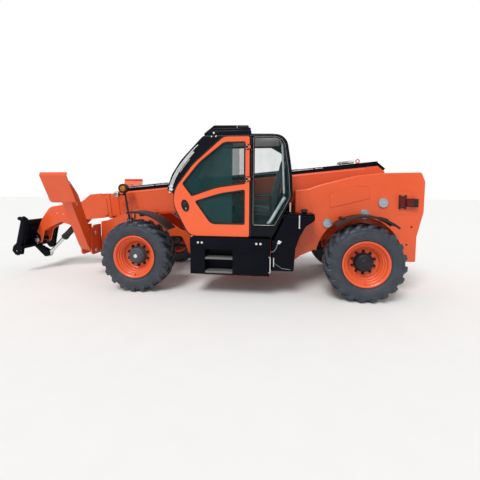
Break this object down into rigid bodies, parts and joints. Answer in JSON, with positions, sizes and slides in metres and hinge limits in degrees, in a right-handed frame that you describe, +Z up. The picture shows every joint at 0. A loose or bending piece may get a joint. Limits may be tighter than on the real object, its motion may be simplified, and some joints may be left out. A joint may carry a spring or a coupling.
{
  "type": "telehandler",
  "caption": "Telescopic handler with side cab, nested lifting boom, quick-attach carriage, folding front stabilisers and steered wheels on both axles.",
  "frame": {"origin": "on the ground, under the middle of the machine's box", "axes": "+X forwards to the carriage, +Y to the cab's side, +Z up"},
  "size_m": [7.3495, 2.639, 2.6394],
  "materials": {
    "orange": "gloss orange paint",
    "black": "satin black paint",
    "tyre": "matt rubber",
    "glass": "tinted glass",
    "plastic": "moulded plastic",
    "seat": "vinyl",
    "chrome": "ground and plated",
    "engine": "painted casting",
    "steel": "grey paint"
  },
  "bodies": {
    "chassis": {"frame_plate_left": "orange", "frame_plate_right": "orange", "frame_cross": "orange", "front_beam": "orange", "side_body_left": "orange", "side_body_right": "orange", "axle_front": "steel", "axle_rear": "steel", "cab_shell": "orange", "cab_roof": "black", "cab_glass": "glass", "seat_base": "plastic", "seat": "seat", "dash": "plastic", "step_box": "black", "tank": "black", "engine_tray": "black", "engine": "engine", "fenders": "plastic", "lamps": "plastic"},
    "boom": {"boom_outer": "orange", "boom_pipes": "black"},
    "boom_second": {"boom_middle": "orange"},
    "boom_third": {"boom_inner": "orange"},
    "carriage": {"carriage": "orange"},
    "lift_barrel": {"lift_barrel": "black"},
    "lift_rod": {"lift_rod": "chrome"},
    "level_barrel": {"level_barrel": "black"},
    "level_rod": {"level_rod": "chrome"},
    "tilt_barrel": {"tilt_barrel": "black"},
    "tilt_rod": {"tilt_rod": "chrome"},
    "door": {"door": "orange", "door_glass": "glass"},
    "hood": {"engine_hood": "orange"},
    "leg_left": {"stabiliser_leg_left": "orange"},
    "pad_left": {"stabiliser_pad_left": "orange"},
    "leg_barrel_left": {"stabiliser_leg_barrel_left": "black"},
    "leg_rod_left": {"stabiliser_leg_rod_left": "chrome"},
    "leg_right": {"stabiliser_leg_right": "orange"},
    "pad_right": {"stabiliser_pad_right": "orange"},
    "leg_barrel_right": {"stabiliser_leg_barrel_right": "black"},
    "leg_rod_right": {"stabiliser_leg_rod_right": "chrome"},
    "knuckle_front_left": {"knuckle_front_left": "steel"},
    "wheel_front_left": {"tyre_front_left": "tyre", "rim_front_left": "orange"},
    "knuckle_front_right": {"knuckle_front_right": "steel"},
    "wheel_front_right": {"tyre_front_right": "tyre", "rim_front_right": "orange"},
    "knuckle_rear_left": {"knuckle_rear_left": "steel"},
    "wheel_rear_left": {"tyre_rear_left": "tyre", "rim_rear_left": "orange"},
    "knuckle_rear_right": {"knuckle_rear_right": "steel"},
    "wheel_rear_right": {"tyre_rear_right": "tyre", "rim_rear_right": "orange"}
  },
  "joints": [
    {"name": "boom_lift", "type": "hinge", "parent": "chassis", "child": "boom", "pos_m": [-3.07, 0, 1.46], "axis": [0, -1, 0], "range_deg": [0, 64]},
    {"name": "boom_extend", "type": "slide", "parent": "boom", "child": "boom_second", "axis": [0.9951, 0, -0.0993], "range_m": [0, 3.4]},
    {"name": "boom_extend_inner", "type": "slide", "parent": "boom_second", "child": "boom_third", "axis": [0.9951, 0, -0.0993], "range_m": [0, 3.4]},
    {"name": "carriage_tilt", "type": "hinge", "parent": "boom_third", "child": "carriage", "pos_m": [3.42, 0, 0.62], "axis": [0, 1, 0], "range_deg": [0, 115]},
    {"name": "lift_swing", "type": "hinge", "parent": "chassis", "child": "lift_barrel", "pos_m": [-2.24, 0, 1.13], "axis": [0, -1, 0], "range_deg": [0, 75.93]},
    {"name": "lift_stroke", "type": "slide", "parent": "lift_barrel", "child": "lift_rod", "axis": [0.9985, 0, 0.0541], "range_m": [0, 0.84617]},
    {"name": "level_swing", "type": "hinge", "parent": "chassis", "child": "level_barrel", "pos_m": [-2.8, 0, 1.28], "axis": [0, -1, 0], "range_deg": [0, 68.09]},
    {"name": "level_stroke", "type": "slide", "parent": "level_barrel", "child": "level_rod", "axis": [0.9762, 0, 0.2169], "range_m": [0, 0.33918]},
    {"name": "tilt_swing", "type": "hinge", "parent": "boom_third", "child": "tilt_barrel", "pos_m": [2.57, 0, 1], "axis": [0, -1, 0], "range_deg": [0, 31.24]},
    {"name": "tilt_stroke", "type": "slide", "parent": "tilt_barrel", "child": "tilt_rod", "axis": [0.7218, 0, -0.6921], "range_m": [-0.38573, 0]},
    {"name": "stabiliser_left", "type": "hinge", "parent": "chassis", "child": "leg_left", "pos_m": [2.05, 0.49, 0.53], "axis": [-1, 0, 0], "range_deg": [0, 86]},
    {"name": "pad_left_swivel", "type": "hinge", "parent": "leg_left", "child": "pad_left", "pos_m": [2.05, 1.07303, 1.7254], "axis": [1, 0, 0], "range_deg": [0, 22]},
    {"name": "leg_left_swing", "type": "hinge", "parent": "chassis", "child": "leg_barrel_left", "pos_m": [2.05, 0.49, 0.85], "axis": [-1, 0, 0], "range_deg": [0, 89.9]},
    {"name": "leg_left_stroke", "type": "slide", "parent": "leg_barrel_left", "child": "leg_rod_left", "axis": [0, 0.6013, 0.799], "range_m": [0, 0.43239]},
    {"name": "stabiliser_right", "type": "hinge", "parent": "chassis", "child": "leg_right", "pos_m": [2.05, -0.49, 0.53], "axis": [1, 0, 0], "range_deg": [0, 86]},
    {"name": "pad_right_swivel", "type": "hinge", "parent": "leg_right", "child": "pad_right", "pos_m": [2.05, -1.07303, 1.7254], "axis": [-1, 0, 0], "range_deg": [0, 22]},
    {"name": "leg_right_swing", "type": "hinge", "parent": "chassis", "child": "leg_barrel_right", "pos_m": [2.05, -0.49, 0.85], "axis": [1, 0, 0], "range_deg": [0, 89.9]},
    {"name": "leg_right_stroke", "type": "slide", "parent": "leg_barrel_right", "child": "leg_rod_right", "axis": [0, -0.6013, 0.799], "range_m": [0, 0.43239]},
    {"name": "door_hinge", "type": "hinge", "parent": "chassis", "child": "door", "pos_m": [-1.03, 1.176, 1.7], "axis": [0, 0, 1], "range_deg": [0, 85]},
    {"name": "hood_hinge", "type": "hinge", "parent": "chassis", "child": "hood", "pos_m": [-0.865, -0.374, 1.43], "axis": [-1, 0, 0], "range_deg": [0, 55]},
    {"name": "steer_front_left", "type": "hinge", "parent": "chassis", "child": "knuckle_front_left", "pos_m": [0.81, 0.785, 0.58], "axis": [0, 0, 1], "range_deg": [-30, 30]},
    {"name": "wheel_front_left", "type": "hinge", "parent": "knuckle_front_left", "child": "wheel_front_left", "pos_m": [0.81, 1, 0.58], "axis": [0, 1, 0], "continuous": true},
    {"name": "steer_front_right", "type": "hinge", "parent": "chassis", "child": "knuckle_front_right", "pos_m": [0.81, -0.785, 0.58], "axis": [0, 0, 1], "range_deg": [-30, 30]},
    {"name": "wheel_front_right", "type": "hinge", "parent": "knuckle_front_right", "child": "wheel_front_right", "pos_m": [0.81, -1, 0.58], "axis": [0, 1, 0], "continuous": true},
    {"name": "steer_rear_left", "type": "hinge", "parent": "chassis", "child": "knuckle_rear_left", "pos_m": [-2.73, 0.785, 0.58], "axis": [0, 0, 1], "range_deg": [-30, 30]},
    {"name": "wheel_rear_left", "type": "hinge", "parent": "knuckle_rear_left", "child": "wheel_rear_left", "pos_m": [-2.73, 1, 0.58], "axis": [0, 1, 0], "continuous": true},
    {"name": "steer_rear_right", "type": "hinge", "parent": "chassis", "child": "knuckle_rear_right", "pos_m": [-2.73, -0.785, 0.58], "axis": [0, 0, 1], "range_deg": [-30, 30]},
    {"name": "wheel_rear_right", "type": "hinge", "parent": "knuckle_rear_right", "child": "wheel_rear_right", "pos_m": [-2.73, -1, 0.58], "axis": [0, 1, 0], "continuous": true}
  ],
  "couplings": [
    {"joint": "boom_extend_inner", "follows": "boom_extend", "ratio": 1},
    {"joint": "lift_swing", "follows": "boom_lift", "ratio": 1.1864},
    {"joint": "lift_stroke", "follows": "boom_lift", "m_per_rad": 0.75753},
    {"joint": "level_swing", "follows": "boom_lift", "ratio": 1.0639},
    {"joint": "level_stroke", "follows": "boom_lift", "m_per_rad": 0.30365},
    {"joint": "tilt_swing", "follows": "carriage_tilt", "ratio": 0.27168},
    {"joint": "tilt_stroke", "follows": "carriage_tilt", "m_per_rad": -0.19218},
    {"joint": "pad_left_swivel", "follows": "stabiliser_left", "ratio": 0.25581},
    {"joint": "leg_left_swing", "follows": "stabiliser_left", "ratio": 1.0454},
    {"joint": "leg_left_stroke", "follows": "stabiliser_left", "m_per_rad": 0.28807},
    {"joint": "pad_right_swivel", "follows": "stabiliser_right", "ratio": 0.25581},
    {"joint": "leg_right_swing", "follows": "stabiliser_right", "ratio": 1.0454},
    {"joint": "leg_right_stroke", "follows": "stabiliser_right", "m_per_rad": 0.28807},
    {"joint": "steer_front_right", "follows": "steer_front_left", "ratio": 1},
    {"joint": "steer_rear_right", "follows": "steer_rear_left", "ratio": 1}
  ]
}
